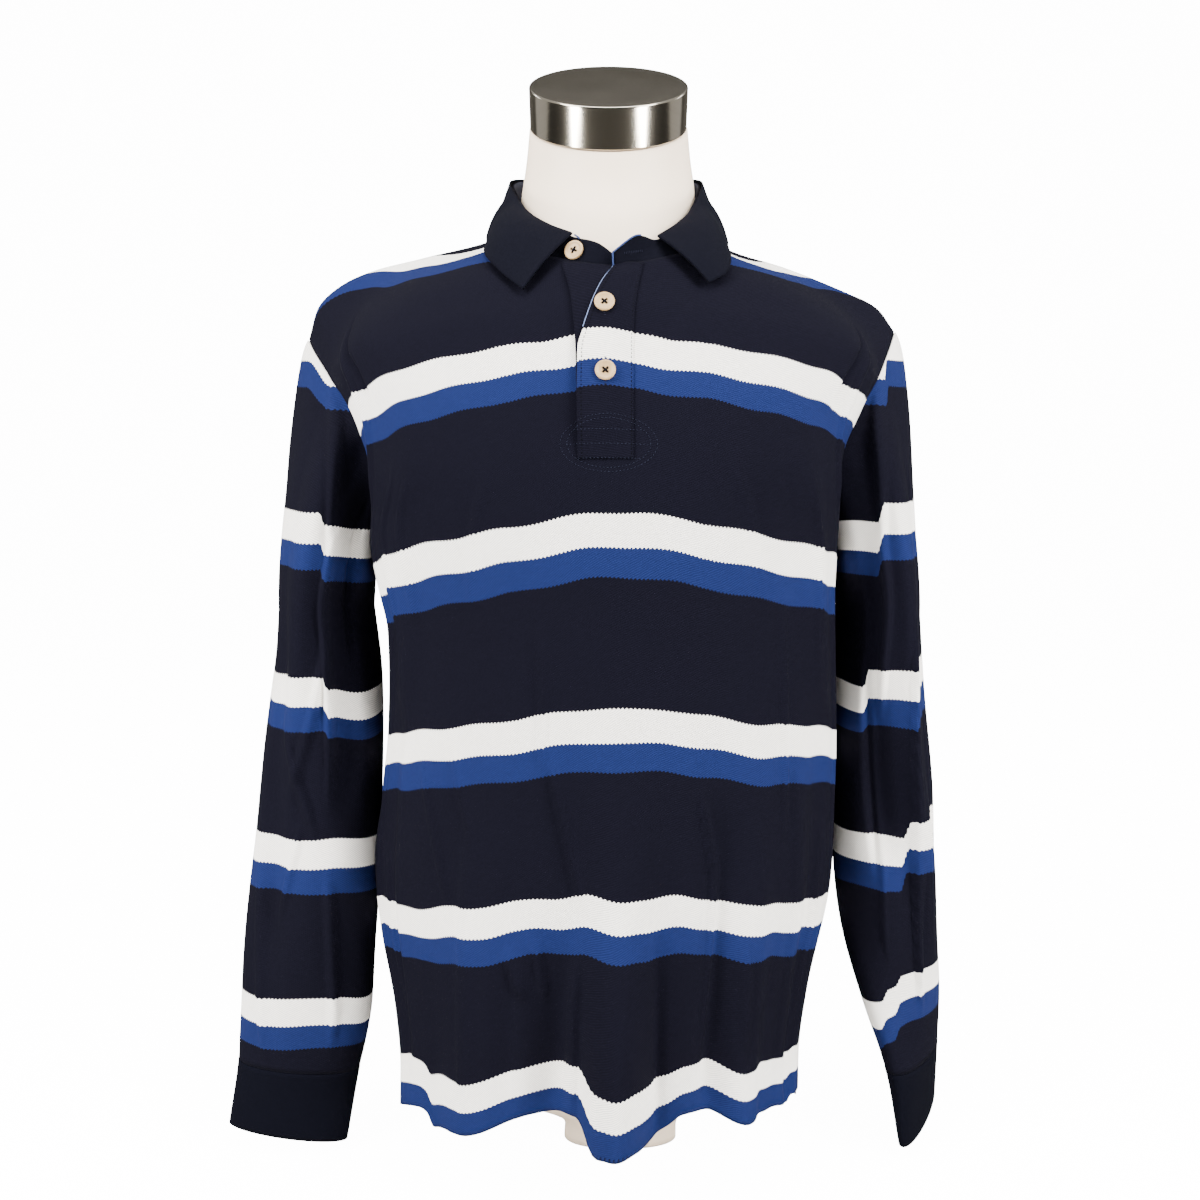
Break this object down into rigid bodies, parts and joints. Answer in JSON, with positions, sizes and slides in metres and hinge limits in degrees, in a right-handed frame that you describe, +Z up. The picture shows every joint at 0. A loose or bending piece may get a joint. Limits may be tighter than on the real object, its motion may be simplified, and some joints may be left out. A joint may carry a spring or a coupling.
{
  "type": "polo shirt on a dress form",
  "caption": "Long-sleeved rugby-style polo shirt with turned-down collar, button placket and cuffs, worn by a limbless dress form with a steel neck cap.",
  "frame": {"origin": "on the flat base of the dress form, below the middle of the neck", "axes": "+Z up, -Y out of the front of the shirt, -X toward the wearer's right sleeve"},
  "size_m": [0.5852, 0.2838, 0.8556],
  "materials": {
    "navy_cloth": "soft twill-faced knit, navy ground with white and blue stripes knitted in",
    "navy_collar_cloth": "matte navy knit",
    "cream_button": "satin cream, clouded",
    "form_shell": "smooth off-white shell",
    "brushed_steel": "brushed round the rim"
  },
  "bodies": {
    "root": {"front": "navy_cloth", "back": "navy_cloth", "sleeve_right": "navy_cloth", "sleeve_left": "navy_cloth", "placket_under": "navy_cloth", "placket_upper": "navy_cloth", "cuff_right": "navy_collar_cloth", "cuff_left": "navy_collar_cloth", "collar_stand": "navy_collar_cloth", "collar": "navy_collar_cloth", "button_middle": "cream_button", "button_lower": "cream_button", "button_upper": "cream_button", "dress_form": "form_shell", "neck_cap": "brushed_steel"}
  },
  "joints": []
}
